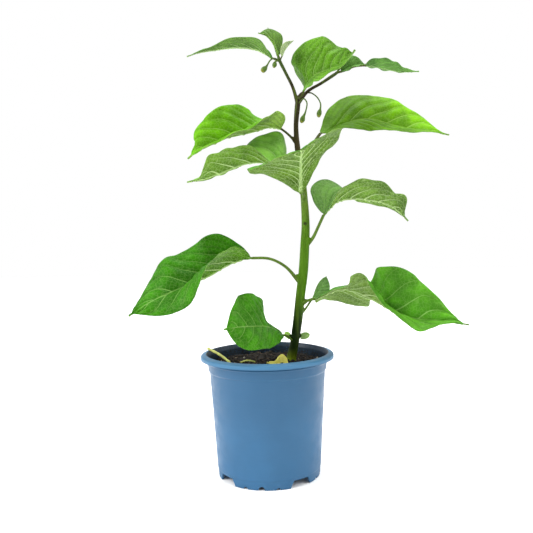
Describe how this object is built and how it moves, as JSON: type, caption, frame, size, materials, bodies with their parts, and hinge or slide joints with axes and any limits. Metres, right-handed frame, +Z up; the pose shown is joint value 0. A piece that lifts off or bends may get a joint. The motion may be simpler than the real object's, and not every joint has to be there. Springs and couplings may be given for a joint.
{
  "type": "potted chilli pepper plant",
  "caption": "Young chilli pepper plant with drooping pointed leaves and small flower buds, growing from peat soil in a tapered blue plastic pot on short feet.",
  "frame": {"origin": "under the middle of the whole plant's bounding box, on the surface that the pot stands on; the pot's axis stands at x -0.0315, y 0.0231", "axes": "+Z up along the pot's axis, -Y towards the viewer of the pictured front, +X to that viewer's right"},
  "size_m": [0.2915, 0.1661, 0.4011],
  "materials": {
    "pot": "satin",
    "soil": "matte",
    "stem": "satin",
    "leaf": "satin",
    "young_leaf": "satin",
    "bud": "satin",
    "withered": "matte"
  },
  "bodies": {
    "root": {"pot": "pot", "soil": "soil", "main_stem": "stem", "leaf_lower_left": "leaf", "leaf_lower_right": "leaf", "leaf_low_front": "leaf", "leaf_upper_right": "leaf", "leaf_top_left": "leaf", "leaf_upper_left": "leaf", "leaf_middle_left": "leaf", "leaf_middle_right": "leaf", "leaf_top_dome": "leaf", "leaf_front_centre": "leaf", "leaf_far_right": "young_leaf", "leaf_right_shoot": "young_leaf", "young_leaf_left": "young_leaf", "young_leaf_right": "young_leaf", "young_leaf_spike": "young_leaf", "axil_leaf_right": "young_leaf", "base_sprout_right": "young_leaf", "base_sprout_left": "young_leaf", "flower_bud_left_outer": "bud", "flower_bud_left_inner": "bud", "flower_bud_fork_left": "bud", "flower_bud_fork_right": "bud", "flower_bud_right_shoot": "bud", "fallen_leaf": "withered", "dry_stalk_on_rim": "withered", "dry_stalk_on_soil": "withered"}
  },
  "joints": []
}
